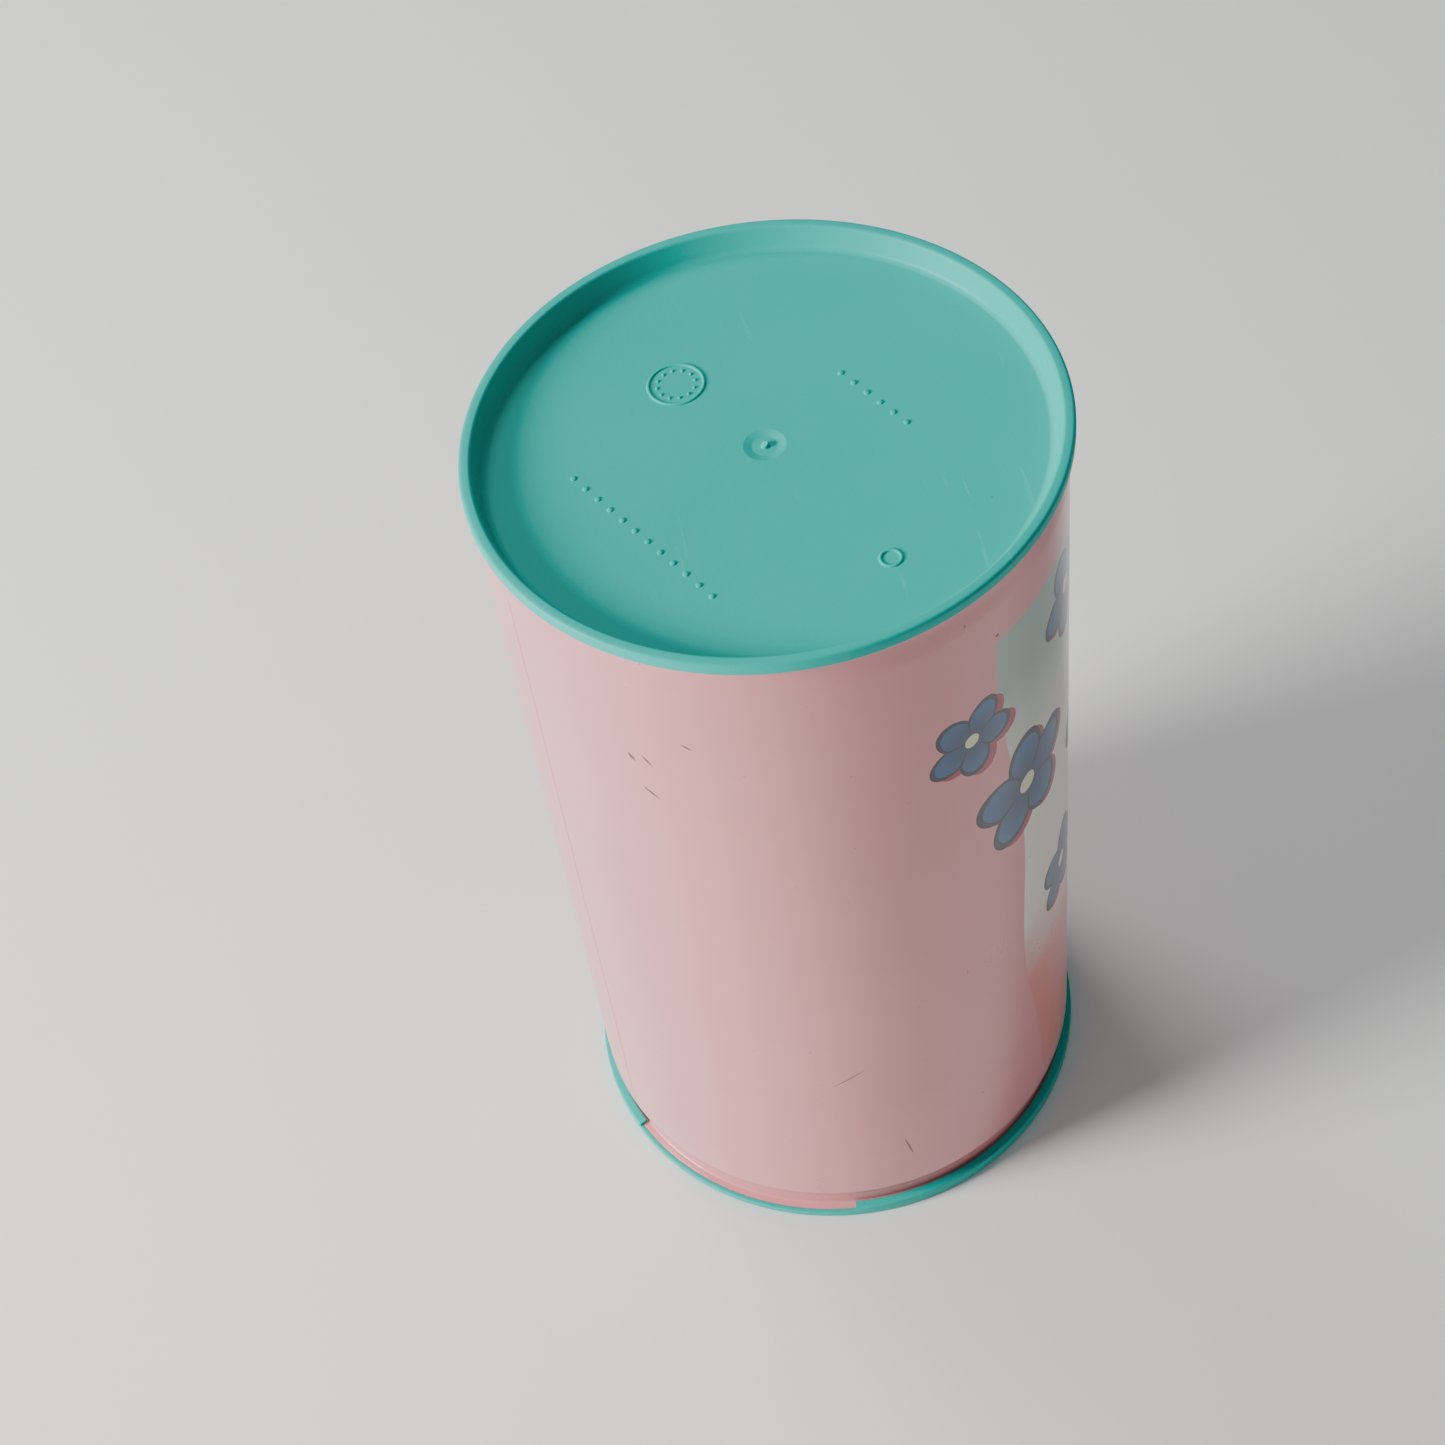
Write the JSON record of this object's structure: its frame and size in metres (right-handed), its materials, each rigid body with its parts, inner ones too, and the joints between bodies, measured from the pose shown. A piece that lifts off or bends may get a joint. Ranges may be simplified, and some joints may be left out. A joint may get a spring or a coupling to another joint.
{
  "type": "powder tin",
  "caption": "Cylindrical tinplate talcum powder tin with a moulded snap-in base and a shaker closure whose dial turns to open the sifter holes.",
  "frame": {"origin": "centre of the face of the closure ring that the tin stands on", "axes": "+Z along the tin, from the shaker closure it stands on up to the moulded base; +X along the dial's grip bar when shut; the pry notch in the collar's lip is centred 232 degrees round from +X, between -X and -Y"},
  "size_m": [0.08, 0.08, 0.1412],
  "materials": {
    "lacquered_tinplate": "gloss pink lacquer with a printed panel",
    "teal_plastic": "satin moulded polyethylene",
    "plain_steel": "plain bright"
  },
  "bodies": {
    "tin": {"tin_body": "lacquered_tinplate", "base_cap": "teal_plastic", "shaker_collar": "teal_plastic", "pivot_rivet": "plain_steel", "rivet_washer": "plain_steel"},
    "dial": {"turn_dial": "teal_plastic"}
  },
  "joints": [
    {"name": "dial_turn", "type": "hinge", "parent": "tin", "child": "dial", "pos_m": [0, 0, 0.0063], "axis": [0, 0, 1], "range_deg": [0, 45]}
  ]
}
